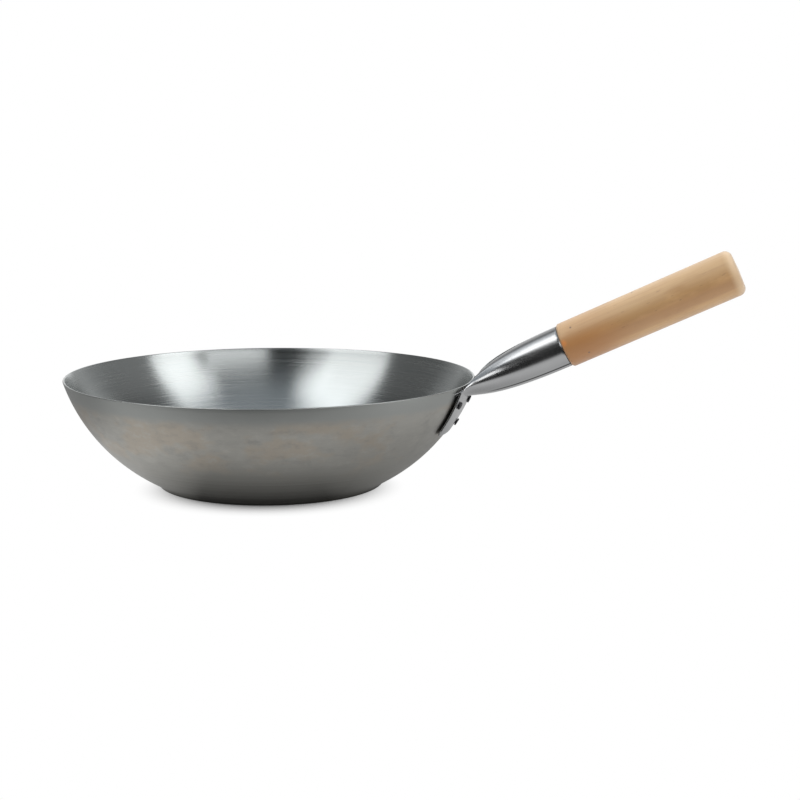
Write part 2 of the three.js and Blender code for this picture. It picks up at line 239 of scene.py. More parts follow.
# a band below the rim that is painted lighter, a painted reflection of the table further out, and that
# holds the handling marks
MARKED_AND_LIT_BAND_START = (22 * MM, 48 * MM)
MARKED_AND_LIT_BAND_END = (70 * MM, 79 * MM)
PAINTED_REFLECTION_SHARE = 0.5
CLOUD_SCALE = (24, 24, 40)
CLOUD_SHIFT = (3.4, 0, 7.2)
CLOUD_DETAIL = (3, 0.6)
GOLD_CLOUDS = (0.48, 0.64)
GOLD_SHARE = 0.75
SMEAR_SCALE = (75, 75, 150)
SMEAR_DETAIL = (5, 0.7)
DULL_SMEARS = (0.52, 0.70)
DULL_SHARE = 0.42
BRIGHT_SMEARS = (0.46, 0.34)
BRIGHT_SHARE = 0.65

# Finishes: socket, rivets and screw
SOCKET_DARK = (0.50, 0.505, 0.51, 1)
SOCKET_PALE = (0.58, 0.585, 0.59, 1)
SOCKET_LINES = (160, 5, 0)
SOCKET_CLOUD_SCALE = 60
SOCKET_ROUGHNESS = (0.19, 0.28)
SOCKET_BUMP = 0.1
SOCKET_DEPTH = 0.05 * MM
SHADOW_REFLECTION_DARK = grey(0.05)  # painted dark line along the lower side of the socket, a painted reflection of the handle's shadow on the table
SHADOW_REFLECTION_PLACE = 0.405  # of the way across the sheet
SHADOW_REFLECTION_HALF_WIDTH = (0.005, 0.012)
SHADOW_REFLECTION_RUN = (0.50, 0.64)  # where it starts, of the way from the plate's edge to the mouth
RIVET_GRAIN = 900
RIVET_DARK = (0.025, 0.025, 0.028, 1)
RIVET_PALE = (0.09, 0.09, 0.095, 1)
RIVET_ROUGHNESS = (0.38, 0.55)
RIVET_BUMP = 0.2
RIVET_DEPTH = 0.1 * MM
SCREW_GRAIN = 1400
SCREW_DARK = (0.45, 0.45, 0.44, 1)
SCREW_PALE = (0.6, 0.6, 0.58, 1)
SCREW_ROUGHNESS = (0.28, 0.42)
SCREW_BUMP = 0.15
SCREW_DEPTH = 0.05 * MM

# Finishes: beech
BEECH_PALE = (0.46, 0.262, 0.095, 1)
BEECH_DARK = (0.345, 0.182, 0.054, 1)
BEECH_BANDS = (7, 70, 45)
BEECH_BAND_DETAIL = (3, 0.55)
BEECH_BLOTCHES = (24, 50, 60)
BEECH_BLOTCH_DETAIL = (4, 0.6)
BEECH_FIGURE = (0.90, 1.10)
BEECH_GRAIN = (25, 700, 500)
BEECH_GRAIN_DETAIL = (3, 0.6)
BEECH_LINE = (0.28, 0.14, 0.055, 1)
BEECH_LINES = (0.45, 0.75)
BEECH_LINE_SHARE = 0.30
BEECH_FLECKS = (160, 1100, 1100)
BEECH_FLECK_DETAIL = 1
BEECH_FLECK = (0.14, 0.07, 0.03, 1)
BEECH_FLECK_LEVELS = (0.72, 0.78)
BEECH_FLECK_SHARE = 0.5
# painted highlight: a paler colour in patches along the handle's top
BEECH_TOP_HIGHLIGHT = (0.50, 0.335, 0.165, 1)
BEECH_TOP_HIGHLIGHT_RISE = (-1 * MM, 12 * MM)  # painted highlight, paler towards the handle's top
BEECH_TOP_HIGHLIGHT_SHARE = 0.62
BEECH_HIGHLIGHT_CLOUDS = (11, 26, 26)
BEECH_HIGHLIGHT_CLOUD_SHIFT = (0.3, 0, 2.1)
BEECH_HIGHLIGHT_CLOUD_LEVELS = (0.43, 0.55)
BEECH_HIGHLIGHT_CLOUD_SHARES = (0.2, 1.1)
# painted shade: a browner band on the handle's lower sides
BEECH_PAINTED_SHADE = (0.35, 0.175, 0.058, 1)
BEECH_SHADE_BELOW = (1 * MM, -4 * MM)  # painted shade, browner on the lower sides
BEECH_SHADE_ABOVE = (-13 * MM, -8 * MM)
BEECH_SHADE_SHARE = 0.8
BEECH_WARM = (0.335, 0.135, 0.020, 1)
BEECH_WARM_RUN = (16 * MM, 66 * MM)
BEECH_WARM_SHARES = (0.95, 0.25)  # below and on top
# painted light: paler over the last few millimetres of the crowned end
BEECH_END_LIGHT = (0.58, 0.42, 0.25, 1)
BEECH_END_LIGHT_RUN = (GRIP_LENGTH - 9 * MM, GRIP_LENGTH - 3 * MM)
BEECH_END_LIGHT_SHARE = 0.7
BEECH_KNOT = (237, -18, 121)  # places of the knot and the pores in millimetres
BEECH_KNOT_SIZE = (0.8 * MM, 4 * MM)
BEECH_KNOT_SHARE = 0.7
BEECH_KNOT_TONE = (0.55, 0.17, 0.010, 1)
BEECH_PORES = [(242, -13, 133), (257, -14, 114), (288, -4, 160)]
BEECH_PORE_SIZE = (0.5 * MM, 1.2 * MM)
BEECH_PORE_SHARE = 0.95
BEECH_ROUGHNESS = (0.42, 0.54)
BEECH_GLOSS = 0.6
BEECH_COAT = 0.3
BEECH_COAT_ROUGHNESS = 0.5
BEECH_SHEEN = 0.3
BEECH_SHEEN_ROUGHNESS = 0.6
BEECH_BUMP = 0.12
BEECH_DEPTH = 0.12 * MM


def blend(first, second, share):
    return first + (second - first) * share


def shares(steps):
    return [step / steps for step in range(steps + 1)]


# Wall of the bowl: one arc from the top of the base's pressed edge to the rim
RIM_RADIUS = RIM_DIAMETER / 2
BASE_RADIUS = BASE_DIAMETER / 2
FOOT_RADIUS = BASE_RADIUS + BASE_EDGE_OUT
WALL_RISE = BOWL_HEIGHT - BASE_EDGE_HEIGHT
RIM_ANGLE = 2 * math.atan2(WALL_RISE, RIM_RADIUS - FOOT_RADIUS) - WALL_START_ANGLE
WALL_CHORD = math.hypot(WALL_RISE, RIM_RADIUS - FOOT_RADIUS)
ARC_RADIUS = WALL_CHORD / (2 * math.sin((RIM_ANGLE - WALL_START_ANGLE) / 2))
ARC_CENTRE_RADIUS = FOOT_RADIUS - ARC_RADIUS * math.sin(WALL_START_ANGLE)
ARC_CENTRE_HEIGHT = BASE_EDGE_HEIGHT + ARC_RADIUS * math.cos(WALL_START_ANGLE)


def wall_profile(angle, stand_off):
    """Radius and height of a point that stands off the wall's outer face."""
    reach = ARC_RADIUS + stand_off
    return (ARC_CENTRE_RADIUS + reach * math.sin(angle), ARC_CENTRE_HEIGHT - reach * math.cos(angle))


def wall_angle_at(height):
    return math.acos((ARC_CENTRE_HEIGHT - height) / ARC_RADIUS)


def turn_round(angle, around):
    """How far round the bowl's axis a distance along the wall reaches, from the handle's plane."""
    return around / wall_profile(angle, 0)[0]


def on_wall(angle, turn, stand_off):
    radius, height = wall_profile(angle, stand_off)
    return Vector((radius * math.cos(turn), radius * math.sin(turn), height))


def out_of_wall(angle, turn):
    level = math.sin(angle)
    return Vector((level * math.cos(turn), level * math.sin(turn), -math.cos(angle)))


def brush_run(radius, height):
    """Distance from the bowl's axis along its base and wall."""
    angle = math.atan2(radius - ARC_CENTRE_RADIUS, ARC_CENTRE_HEIGHT - height)
    if angle < WALL_START_ANGLE:
        return radius
    return FOOT_RADIUS + (angle - WALL_START_ANGLE) * ARC_RADIUS


def depth_in_wall(radius, height):
    return ARC_RADIUS - math.hypot(radius - ARC_CENTRE_RADIUS, ARC_CENTRE_HEIGHT - height)


# Handle frame: along the handle, across it, and up from it
HANDLE_ALONG = Vector((math.cos(HANDLE_TILT), 0, math.sin(HANDLE_TILT)))
HANDLE_UP = Vector((-math.sin(HANDLE_TILT), 0, math.cos(HANDLE_TILT)))
HANDLE_ACROSS = Vector((0, 1, 0))
RIM_CROSSING = Vector((RIM_RADIUS, 0, BOWL_HEIGHT - HANDLE_LINE_BELOW_RIM))
MOUTH_CENTRE = RIM_CROSSING + HANDLE_ALONG * SOCKET_LENGTH
MOUTH_RADIUS = SOCKET_DIAMETER / 2


def plate_side(side):
    """Where a line of the sheet crosses the plate: the lines gather at the plate's two upper corners."""
    gathered = 1 - (1 - abs(side)) ** GATHER_POWER
    return math.copysign(blend(abs(side), gathered, GATHER_SHARE), side)


def plate_stand_off(side):
    return SEAT_GAP + SOCKET_SHEET + PLATE_SIDE_LIFT * side ** 2


def plate_edge_height(side):
    """Height of the plate's lower edge, which bows up to its two rounded corners."""
    from_side = (1 - abs(side)) * PLATE_WIDTH / 2
    into_corner = max(0, PLATE_CORNER_ROUND - from_side)
    drop = math.sqrt(PLATE_CORNER_ROUND ** 2 - into_corner ** 2)
    return BOWL_HEIGHT - PLATE_EDGE_BELOW_RIM + PLATE_EDGE_RISE * side ** 2 + PLATE_CORNER_ROUND - drop


def plate_point(side, share):
    spot = plate_side(side)
    crease = BOWL_HEIGHT - blend(PLATE_CREASE_BELOW_RIM, PLATE_CORNER_BELOW_RIM, spot ** 2)
    angle = wall_angle_at(blend(plate_edge_height(spot), crease, share))
    return on_wall(angle, turn_round(angle, spot * PLATE_WIDTH / 2), plate_stand_off(spot))


def mouth_point(side):
    """Point of the mouth; side runs from -1 at the seam on top, through 0 on the underside, to 1."""
    turn = side * (math.pi - SOCKET_SEAM / 2 / MOUTH_RADIUS)
    return MOUTH_CENTRE + (HANDLE_ACROSS * math.sin(turn) - HANDLE_UP * math.cos(turn)) * MOUTH_RADIUS


def horn_point(side, share):
    """The horn bends out of the plate at its crease and runs into the mouth along the handle line."""
    start = plate_point(side, 1)
    end = mouth_point(side)
    out = blend(HORN_OUT_AT_CREASE, HORN_OUT_AT_CORNER, abs(side))
    leave = start + Vector((out, -HORN_IN_AT_CORNER * side, HORN_UP_AT_CORNER * abs(side) ** HORN_UP_POWER))
    arrive = end - HANDLE_ALONG * blend(HORN_RUN_UNDER, HORN_RUN_ON_TOP, abs(side))
    rest = 1 - share
    near_start = start * rest ** 3 + leave * 3 * rest ** 2 * share
    return near_start + arrive * 3 * rest * share ** 2 + end * share ** 3


def sheet_point(side, run):
    """Point of the socket's outer face, from the plate's lower edge at 0 to the mouth at 1."""
    if run <= PLATE_SHARE:
        return plate_point(side, run / PLATE_SHARE)
    return horn_point(side, (run - PLATE_SHARE) / (1 - PLATE_SHARE))


# Mesh tools


def turned(profile, segments):
    """A closed shape turned round +Z from a profile of (radius, height) pairs."""
    mesh = bmesh.new()
    corners = [mesh.verts.new((radius, 0, height)) for radius, height in profile]
    lines = [mesh.edges.new(pair) for pair in zip(corners, corners[1:])]
    bmesh.ops.spin(
        mesh, geom=corners + lines, cent=MIDDLE, axis=UPWARD,
        angle=math.tau, steps=segments, use_merge=True,
    )
    bmesh.ops.remove_doubles(mesh, verts=mesh.verts, dist=MERGE_DISTANCE)
    bmesh.ops.recalc_face_normals(mesh, faces=mesh.faces)
    return mesh


def round_edges(mesh, edges, reach, steps):
    bmesh.ops.bevel(
        mesh, geom=edges, offset=reach, offset_type="OFFSET",
        segments=steps, profile=0.5, affect="EDGES", material=-1,
    )


def round_ring(mesh, radius, height, reach, steps=ROUND_STEPS):
    """Round the ring of a turned shape that lies at a radius and a height."""

    def on_ring(vert):
        return abs(math.hypot(vert.co.x, vert.co.y) - radius) < NEAR and abs(vert.co.z - height) < NEAR

    ring = [edge for edge in mesh.edges if all(on_ring(vert) for vert in edge.verts)]
    round_edges(mesh, ring, reach, steps)


def place_on(mesh, seat, outward):
    """Stand a shape that was turned round +Z on a seat, with its axis outward."""
    stand = Matrix.Translation(seat) @ outward.to_track_quat("Z", "Y").to_matrix().to_4x4()
    bmesh.ops.transform(mesh, matrix=stand, verts=mesh.verts)


def finished_piece(name, mesh, finishes, node):
    """The object of a finished mesh, standing for a node of the frame."""
    data = bpy.data.meshes.new(name)
    mesh.to_mesh(data)
    mesh.free()
    data.shade_smooth()
    data.set_sharp_from_angle(angle=SHARP_ANGLE)
    for finish in finishes:
        data.materials.append(finish)
    piece = bpy.data.objects.new(name, data)
    bpy.context.scene.collection.objects.link(piece)
    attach(piece, "root")
    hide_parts(node)
    return piece


# Node tools


def set_inputs(tree, node, inputs):
    """Give a node its inputs, each a plain value or another node's output."""
    for name, value in inputs.items():
        if isinstance(value, bpy.types.NodeSocket):
            tree.links.new(value, node.inputs[name])
        else:
            node.inputs[name].default_value = value


def add_node(tree, kind, inputs, **settings):
    made = tree.nodes.new(kind)
    for name, value in settings.items():
        setattr(made, name, value)
    set_inputs(tree, made, inputs)
    return made


def new_finish(name):
    finish = bpy.data.materials.new(name)
    finish.use_nodes = True
    tree = finish.node_tree
    return finish, tree, tree.nodes["Principled BSDF"]


def object_place(tree):
    return add_node(tree, "ShaderNodeTexCoord", {}).outputs["Object"]


def map_place(tree, name):
    return add_node(tree, "ShaderNodeUVMap", {}, uv_map=name).outputs["UV"]


def split(tree, vector):
    return add_node(tree, "ShaderNodeSeparateXYZ", {"Vector": vector}).outputs


def scaled(tree, vector, scale):
    return add_node(tree, "ShaderNodeVectorMath", {0: vector, 1: scale}, operation="MULTIPLY").outputs[0]


def added(tree, first, second):
    return add_node(tree, "ShaderNodeVectorMath", {0: first, 1: second}, operation="ADD").outputs[0]


def dotted(tree, vector, direction):
    made = add_node(tree, "ShaderNodeVectorMath", {0: vector, 1: direction}, operation="DOT_PRODUCT")
    return made.outputs["Value"]


def distance(tree, first, second):
    made = add_node(tree, "ShaderNodeVectorMath", {0: first, 1: second}, operation="DISTANCE")
    return made.outputs["Value"]


def calculated(tree, operation, first, second):
    return add_node(tree, "ShaderNodeMath", {0: first, 1: second}, operation=operation).outputs[0]


def product(tree, first, second):
    return calculated(tree, "MULTIPLY", first, second)


def noise(tree, vector, detail=NOISE_DETAIL, rough=NOISE_ROUGH, scale=1):
    inputs = {"Vector": vector, "Scale": scale, "Detail": detail, "Roughness": rough}
    return add_node(tree, "ShaderNodeTexNoise", inputs).outputs["Fac"]


def ranged(tree, value, span, low=0, high=1, kind="LINEAR"):
    """A value carried from a span over to low..high, held at both ends."""
    start, end = span
    inputs = {"Value": value, "From Min": start, "From Max": end, "To Min": low, "To Max": high}
    return add_node(tree, "ShaderNodeMapRange", inputs, interpolation_type=kind).outputs["Result"]


def faded(tree, value, span, low=0, high=1):
    """As ranged, with a soft start and a soft end."""
    return ranged(tree, value, span, low, high, "SMOOTHSTEP")


def mixed(tree, share, first, second):
    made = add_node(tree, "ShaderNodeMix", {0: share, 6: first, 7: second}, data_type="RGBA")
    return made.outputs[2]


def bumped(tree, height, strength, depth):
    made = add_node(tree, "ShaderNodeBump", {"Height": height, "Strength": strength, "Distance": depth})
    return made.outputs["Normal"]


# Finishes


def brush_streaks(tree, place):
    """Coarse and fine noise drawn out along the circles that the brush left round the bowl's axis."""
    run = map_place(tree, BRUSH_MAP)
    along = scaled(tree, place, STREAK_LENGTH)
    coarse = noise(tree, added(tree, along, scaled(tree, run, STREAK_ACROSS)))
    fine = noise(tree, added(tree, along, scaled(tree, run, FINE_STREAK_ACROSS)))
    return calculated(tree, "ADD", coarse, fine)


def brush_tangent(tree):
    made = add_node(tree, "ShaderNodeTangent", {}, direction_type="UV_MAP", uv_map=BRUSH_MAP)
    return made.outputs["Tangent"]


def bowl_inside_finish():
    finish, tree, shader = new_finish("brushed_inside")
    streaks = brush_streaks(tree, object_place(tree))
    set_inputs(tree, shader, {
        "Base Color": mixed(tree, ranged(tree, streaks, STREAK_TONES), INSIDE_DARK, INSIDE_PALE),
        "Metallic": 1,
        "Roughness": ranged(tree, streaks, LINE_SPAN, *INSIDE_ROUGHNESS),
        "Anisotropic": INSIDE_ANISOTROPY,
        "Tangent": brush_tangent(tree),
        "Normal": bumped(tree, streaks, BRUSH_BUMP, BRUSH_DEPTH),
    })
    return finish


def bowl_outside_finish():
    """Brushed steel that is cooler under the rim, with a band below that which is painted lighter as a
    painted reflection of the table, and which carries cloudy handling marks.
    """
    finish, tree, shader = new_finish("brushed_outside")
    place = object_place(tree)
    height = split(tree, place)["Z"]
    streaks = brush_streaks(tree, place)
    clouds = noise(tree, added(tree, scaled(tree, place, CLOUD_SCALE), CLOUD_SHIFT), *CLOUD_DETAIL)
    smears = noise(tree, scaled(tree, place, SMEAR_SCALE), *SMEAR_DETAIL)
    marks = calculated(tree, "ADD", streaks, smears)
    band_start = faded(tree, height, MARKED_AND_LIT_BAND_START)
    band = product(tree, band_start, faded(tree, height, MARKED_AND_LIT_BAND_END, 1, 0))
    low = mixed(tree, ranged(tree, streaks, STREAK_TONES), OUTSIDE_DARK, OUTSIDE_PALE)
    steel = mixed(tree, faded(tree, height, COOL_RISE, 0, COOL_SHARE), low, OUTSIDE_COOL)
    # painted reflection: the band is painted lighter
    painted_reflection_band = mixed(tree, product(tree, band, PAINTED_REFLECTION_SHARE), steel, OUTSIDE_RUBBED_AND_LIT)
    gold = product(tree, band, faded(tree, clouds, GOLD_CLOUDS, 0, GOLD_SHARE))
    warmed = mixed(tree, gold, painted_reflection_band, OUTSIDE_GOLD)
    dull = product(tree, band, ranged(tree, smears, DULL_SMEARS, 0, DULL_SHARE))
    dulled = mixed(tree, dull, warmed, OUTSIDE_DULL)
    bright = product(tree, band, ranged(tree, smears, BRIGHT_SMEARS, 0, BRIGHT_SHARE))
    set_inputs(tree, shader, {
        "Base Color": mixed(tree, bright, dulled, OUTSIDE_RUBBED_AND_LIT),
        "Metallic": 1,
        "Roughness": ranged(tree, marks, OUTSIDE_SPAN, *OUTSIDE_ROUGHNESS),
        "Anisotropic": OUTSIDE_ANISOTROPY,
        "Tangent": brush_tangent(tree),
        "Normal": bumped(tree, marks, BRUSH_BUMP, BRUSH_DEPTH),
    })
    return finish


def socket_finish():
    """Polished steel, with a painted dark line along its lower side, a painted reflection of the handle's
    shadow on the table.
    """
    finish, tree, shader = new_finish("polished_socket")
    sheet = map_place(tree, SHEET_MAP)
    lines = noise(tree, scaled(tree, sheet, SOCKET_LINES), FINE_DETAIL)
    clouds = noise(tree, object_place(tree), FINE_DETAIL, scale=SOCKET_CLOUD_SCALE)
    sheet_parts = split(tree, sheet)
    # painted reflection of the handle's shadow: a dark line along the lower side
    from_shadow_reflection = calculated(tree, "ABSOLUTE", calculated(tree, "SUBTRACT", sheet_parts["X"], SHADOW_REFLECTION_PLACE), 0)
    shadow_reflection_start = faded(tree, sheet_parts["Y"], SHADOW_REFLECTION_RUN)
    shadow_reflection = product(tree, ranged(tree, from_shadow_reflection, SHADOW_REFLECTION_HALF_WIDTH, 1, 0), shadow_reflection_start)
    steel = mixed(tree, clouds, SOCKET_DARK, SOCKET_PALE)
    set_inputs(tree, shader, {
        "Base Color": mixed(tree, shadow_reflection, steel, SHADOW_REFLECTION_DARK),
        "Metallic": 1,
        "Roughness": ranged(tree, calculated(tree, "ADD", lines, clouds), LINE_SPAN, *SOCKET_ROUGHNESS),
        "Normal": bumped(tree, lines, SOCKET_BUMP, SOCKET_DEPTH),
    })
    return finish


def grained_metal(name, scale, dark, pale, roughness, bump, depth):
    finish, tree, shader = new_finish(name)
    grain = noise(tree, object_place(tree), FINE_DETAIL, scale=scale)
    set_inputs(tree, shader, {
        "Base Color": mixed(tree, grain, dark, pale),
        "Metallic": 1,
        "Roughness": ranged(tree, grain, GRAIN_SPAN, *roughness),
        "Normal": bumped(tree, grain, bump, depth),
    })
    return finish


def handle_place(tree):
    """Places along, across and up the handle from its socket's mouth."""
    shift = Matrix.Rotation(HANDLE_TILT, 3, "Y") @ -MOUTH_CENTRE
    inputs = {"Vector": object_place(tree), "Rotation": (0, HANDLE_TILT, 0), "Location": shift}
    return add_node(tree, "ShaderNodeMapping", inputs).outputs["Vector"]


def spotted(tree, ground, place, size, strength, tone):
    """A colour with a small round spot of another one at a place of the object."""
    away = distance(tree, object_place(tree), Vector(place) * MM)
    return mixed(tree, faded(tree, away, size, strength, 0), ground, tone)


def beech_finish():
    """Pale wood: a painted highlight makes it creamier on top, painted shade makes it browner below, it is
    warmer at the socket, and painted light makes it paler at its end.
    """
    finish, tree, shader = new_finish("beech")
    place = handle_place(tree)
    parts = split(tree, place)
    along = parts["X"]
    upward = parts["Z"]
    bands = noise(tree, scaled(tree, place, BEECH_BANDS), *BEECH_BAND_DETAIL)
    grain = noise(tree, scaled(tree, place, BEECH_GRAIN), *BEECH_GRAIN_DETAIL)
    flecks = noise(tree, scaled(tree, place, BEECH_FLECKS), BEECH_FLECK_DETAIL)
    blotches = noise(tree, scaled(tree, place, BEECH_BLOTCHES), *BEECH_BLOTCH_DETAIL)
    cloud_place = added(tree, scaled(tree, place, BEECH_HIGHLIGHT_CLOUDS), BEECH_HIGHLIGHT_CLOUD_SHIFT)
    clouds = noise(tree, cloud_place, *BEECH_BAND_DETAIL)
    figure = ranged(tree, calculated(tree, "ADD", bands, blotches), BEECH_FIGURE)
    body = mixed(tree, figure, BEECH_PALE, BEECH_DARK)
    # painted highlight: paler in patches along the top
    top = faded(tree, upward, BEECH_TOP_HIGHLIGHT_RISE, 0, BEECH_TOP_HIGHLIGHT_SHARE)
    top_highlight = product(tree, top, faded(tree, clouds, BEECH_HIGHLIGHT_CLOUD_LEVELS, *BEECH_HIGHLIGHT_CLOUD_SHARES))
    highlighted = mixed(tree, top_highlight, body, BEECH_TOP_HIGHLIGHT)
    # painted shade: browner on the lower sides
    shade_below = faded(tree, upward, BEECH_SHADE_BELOW, 0, BEECH_SHADE_SHARE)
    shade_band = product(tree, shade_below, faded(tree, upward, BEECH_SHADE_ABOVE))
    shade_painted = mixed(tree, shade_band, highlighted, BEECH_PAINTED_SHADE)
    lined = mixed(tree, ranged(tree, grain, BEECH_LINES, 0, BEECH_LINE_SHARE), shade_painted, BEECH_LINE)
    fleck_share = ranged(tree, flecks, BEECH_FLECK_LEVELS, 0, BEECH_FLECK_SHARE)
    flecked = mixed(tree, fleck_share, lined, BEECH_FLECK)
    off_top = faded(tree, upward, BEECH_TOP_HIGHLIGHT_RISE, *BEECH_WARM_SHARES)
    near_socket = faded(tree, along, BEECH_WARM_RUN, 1, 0)
    warmed = mixed(tree, product(tree, off_top, near_socket), flecked, BEECH_WARM)
    # painted light on the crowned end
    end_lit = mixed(tree, faded(tree, along, BEECH_END_LIGHT_RUN, 0, BEECH_END_LIGHT_SHARE), warmed, BEECH_END_LIGHT)
    marked = spotted(tree, end_lit, BEECH_KNOT, BEECH_KNOT_SIZE, BEECH_KNOT_SHARE, BEECH_KNOT_TONE)
    for pore in BEECH_PORES:
        marked = spotted(tree, marked, pore, BEECH_PORE_SIZE, BEECH_PORE_SHARE, BEECH_FLECK)
    relief = calculated(tree, "SUBTRACT", grain, flecks)
    set_inputs(tree, shader, {
        "Base Color": marked,
        "Roughness": ranged(tree, grain, GRAIN_SPAN, *BEECH_ROUGHNESS),
        "Specular IOR Level": BEECH_GLOSS,
        "Coat Weight": BEECH_COAT,
        "Coat Roughness": BEECH_COAT_ROUGHNESS,
        "Sheen Weight": BEECH_SHEEN,
        "Sheen Roughness": BEECH_SHEEN_ROUGHNESS,
        "Normal": bumped(tree, relief, BEECH_BUMP, BEECH_DEPTH),
    })
    return finish


# Pieces


def bowl_face_finish(face, floor_edge):
    """The place of a face's finish in the bowl's list of finishes; the rim's cut counts as inside."""
    middle = face.calc_center_median()
    radius = math.hypot(middle.x, middle.y)
    if radius < floor_edge:
        return OUTSIDE if middle.z < BOWL_WALL / 2 else INSIDE
    arc_reach = math.hypot(radius - ARC_CENTRE_RADIUS, ARC_CENTRE_HEIGHT - middle.z)
    return OUTSIDE if arc_reach > ARC_RADIUS - BOWL_WALL / 2 + NEAR else INSIDE


def lay_brush_map(mesh):
    """A map whose first part runs out from the axis and over the rim's cut, and its second part round."""
    brush = mesh.loops.layers.uv.new(BRUSH_MAP)
    for face in mesh.faces:
        middle = face.calc_center_median()
        middle_turn = math.atan2(middle.y, middle.x)
        runs = [brush_run(math.hypot(vert.co.x, vert.co.y), vert.co.z) for vert in face.verts]
        on_cut = max(runs) - min(runs) < NEAR
        for loop in face.loops:
            spot = loop.vert.co
            reach = math.hypot(spot.x, spot.y)
            turn = math.atan2(spot.y, spot.x) if reach > NEAR else middle_turn
            turn = middle_turn + (turn - middle_turn + math.pi) % math.tau - math.pi
            depth = depth_in_wall(reach, spot.z) if on_cut else 0
            loop[brush].uv = (brush_run(reach, spot.z) + depth, turn / math.tau)


def make_bowl():
    edge_angle = math.atan2(BASE_EDGE_HEIGHT, BASE_EDGE_OUT)
    floor_edge = BASE_RADIUS - BOWL_WALL * math.tan(edge_angle / 2)
    wall_angles = [blend(WALL_START_ANGLE, RIM_ANGLE, share) for share in shares(WALL_STEPS)]
    down_angles = [blend(RIM_ANGLE, WALL_START_ANGLE, share) for share in shares(WALL_STEPS)]
    under_base = [(BASE_RADIUS * share, 0) for share in shares(BASE_RINGS)]
    outside = [wall_profile(angle, 0) for angle in wall_angles]
    inside = [wall_profile(angle, -BOWL_WALL) for angle in down_angles]
    on_floor = [(floor_edge * share, BOWL_WALL) for share in reversed(shares(BASE_RINGS))]
    mesh = turned(under_base + outside + inside + on_floor, BOWL_SEGMENTS)
    round_ring(mesh, BASE_RADIUS, 0, BASE_EDGE_ROUND)
    round_ring(mesh, *outside[0], WALL_FOOT_ROUND)
    round_ring(mesh, floor_edge, BOWL_WALL, BASE_EDGE_ROUND)
    round_ring(mesh, *inside[-1], WALL_FOOT_ROUND)
    round_ring(mesh, *outside[-1], RIM_ROUND)
    round_ring(mesh, *inside[0], RIM_ROUND)
    lay_brush_map(mesh)
    for face in mesh.faces:
        face.material_index = bowl_face_finish(face, floor_edge)
    finishes = [bowl_inside_finish(), bowl_outside_finish()]
    return finished_piece("spun_bowl", mesh, finishes, "wok_bowl")


def make_socket():
    mesh = bmesh.new()
    mesh.loops.layers.uv.new(SHEET_MAP)
    bmesh.ops.create_grid(mesh, x_segments=SHEET_COLUMNS, y_segments=SHEET_ROWS, size=1, calc_uvs=True)
    for vert in mesh.verts:
        vert.co = sheet_point(vert.co.x, (vert.co.y + 1) / 2)
    bmesh.ops.remove_doubles(mesh, verts=mesh.verts, dist=NEAR)
    bmesh.ops.recalc_face_normals(mesh, faces=mesh.faces)
    underside = min(mesh.faces, key=lambda face: face.calc_center_median().z)
    if underside.normal.z > 0:
        bmesh.ops.reverse_faces(mesh, faces=mesh.faces)
    bmesh.ops.solidify(mesh, geom=mesh.faces[:], thickness=SOCKET_SHEET)
    cut_edges = [edge for edge in mesh.edges if edge.is_manifold and edge.calc_face_angle() > SHARP_ANGLE]
    round_edges(mesh, cut_edges, SHEET_EDGE_ROUND, SHEET_EDGE_STEPS)
    return finished_piece("rolled_socket", mesh, [socket_finish()], "handle_socket")


def make_rivets():
    upper = BOWL_HEIGHT - PLATE_CREASE_BELOW_RIM - RIVET_TO_CREASE
    lower = BOWL_HEIGHT - PLATE_EDGE_BELOW_RIM + RIVET_TO_PLATE_EDGE
    outer = PLATE_WIDTH / 2 - RIVET_TO_PLATE_SIDE
    shank = RIVET_SHANK_DIAMETER / 2
    head = RIVET_HEAD_DIAMETER / 2
    inner_head = RIVET_INNER_HEAD_DIAMETER / 2
    inner_seat = -BOWL_WALL - SEAT_GAP
    inner_top = inner_seat - RIVET_INNER_HEAD_HEIGHT
    finish = grained_metal(
        "dark_rivet", RIVET_GRAIN, RIVET_DARK, RIVET_PALE, RIVET_ROUGHNESS, RIVET_BUMP, RIVET_DEPTH
    )
    for number, (around, height) in enumerate([(-outer, upper), (0, upper), (outer, upper), (0, lower)], 1):
        angle = wall_angle_at(height)
        turn = turn_round(angle, around)
        head_seat = plate_stand_off(2 * around / PLATE_WIDTH) + SEAT_GAP
        head_top = head_seat + RIVET_HEAD_HEIGHT
        profile = [
            (0, inner_top), (inner_head, inner_top), (inner_head, inner_seat), (shank, inner_seat),
            (shank, head_seat), (head, head_seat), (head, head_top), (0, head_top),
        ]
        mesh = turned(profile, SMALL_SEGMENTS)
        round_ring(mesh, inner_head, inner_top, RIVET_HEAD_ROUND)
        round_ring(mesh, head, head_top, RIVET_HEAD_ROUND)
        place_on(mesh, on_wall(angle, turn, 0), out_of_wall(angle, turn))
        finished_piece(f"domed_rivet_{number}", mesh, [finish], f"rivet_{number}")


def make_grip():
    bore = MOUTH_RADIUS - SOCKET_SHEET - SEAT_GAP
    tenon_end = TENON_END_DIAMETER / 2
    shoulder = GRIP_DIAMETER / 2
    end = GRIP_END_DIAMETER / 2
    end_edge = GRIP_LENGTH - GRIP_END_SINK
    tenon = [(0, -TENON_LENGTH), (tenon_end, -TENON_LENGTH), (bore, 0), (bore, SEAT_GAP)]
    side = [(blend(shoulder, end, share), blend(SEAT_GAP, end_edge, share)) for share in shares(GRIP_RINGS)]
    mesh = turned(tenon + side + [(0, GRIP_LENGTH)], GRIP_SEGMENTS)
    round_ring(mesh, shoulder, SEAT_GAP, GRIP_SHOULDER_ROUND)
    round_ring(mesh, end, end_edge, GRIP_END_ROUND, GRIP_END_STEPS)
    place_on(mesh, MOUTH_CENTRE, HANDLE_ALONG)
    return finished_piece("beech_grip", mesh, [beech_finish()], "wooden_handle")


